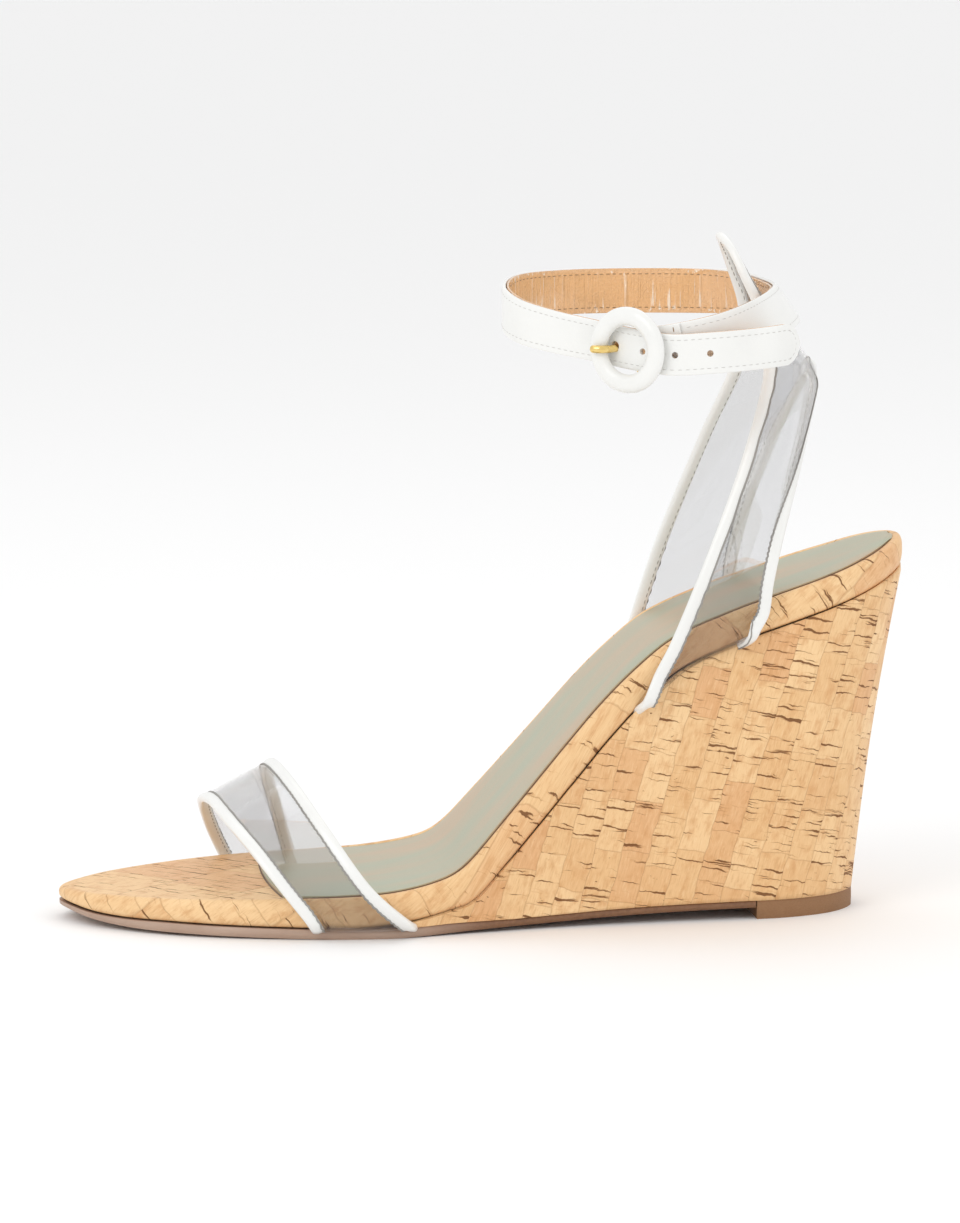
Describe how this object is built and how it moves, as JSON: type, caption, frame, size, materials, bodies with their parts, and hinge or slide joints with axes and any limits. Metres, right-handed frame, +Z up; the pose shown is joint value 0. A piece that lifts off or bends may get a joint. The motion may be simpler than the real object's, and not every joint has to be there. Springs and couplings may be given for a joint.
{
  "type": "wedge sandal",
  "caption": "High wedge sandal for the left foot: cork-covered wedge and footbed, clear vamp strap and heel quarter with white leather edges, white ankle strap with a round buckle.",
  "frame": {"origin": "on the ground, under the middle of the sandal's overall box", "axes": "+X towards the heel, so the toe points along -X; +Y towards the inner side of the foot, so the buckle is on the -Y side; +Z up"},
  "size_m": [0.225, 0.0898, 0.1813],
  "materials": {
    "cork": "natural cork sheet laid as patchwork, satin",
    "sole_leather": "smooth, lightly polished",
    "top_piece_rubber": "matt, leather coloured",
    "wedge_core": "moulded, unfinished",
    "fibreboard": "matt",
    "steel": "plain",
    "foam": "open foam",
    "sock_leather": "metallic foil, satin",
    "clear_film": "clear, glossy",
    "white_leather": "smooth, semi-gloss",
    "tan_lining": "glazed",
    "gold_metal": "polished"
  },
  "bodies": {
    "sole": {"outsole": "sole_leather", "heel_top_piece": "top_piece_rubber", "top_piece_pin_1": "steel", "top_piece_pin_2": "steel", "wedge_core": "wedge_core", "wedge_cork_cover": "cork", "insole_board": "fibreboard", "heel_nail_1": "steel", "heel_nail_2": "steel", "heel_nail_3": "steel", "shank": "steel", "footbed_pad": "foam", "footbed_rand": "cork", "toe_cork_cover": "cork", "sock_lining": "sock_leather", "vamp_panel": "clear_film", "vamp_front_binding": "white_leather", "vamp_rear_binding": "white_leather", "quarter_panel": "clear_film", "quarter_front_binding": "white_leather", "quarter_rear_binding": "white_leather"},
    "ankle_strap_set": {"ankle_strap": "white_leather", "ankle_strap_lining": "tan_lining", "buckle_strap": "white_leather", "buckle_strap_lining": "tan_lining", "buckle_frame": "gold_metal", "buckle_cover": "white_leather"},
    "free_tip": {"strap_tip": "white_leather", "strap_tip_lining": "tan_lining"},
    "prong": {"buckle_prong": "gold_metal"}
  },
  "joints": [
    {"name": "strap_swing", "type": "hinge", "parent": "sole", "child": "ankle_strap_set", "pos_m": [0.0796, 0, 0.1612], "axis": [0, 1, 0], "range_deg": [-6, 10]},
    {"name": "tip_flex", "type": "hinge", "parent": "ankle_strap_set", "child": "free_tip", "pos_m": [0.04694, -0.04509, 0.15249], "axis": [0, 0, -1], "range_deg": [0, 30]},
    {"name": "prong_pivot", "type": "hinge", "parent": "ankle_strap_set", "child": "prong", "pos_m": [0.0369, -0.03392, 0.1533], "axis": [0, 0, 1], "range_deg": [0, 3]}
  ]
}
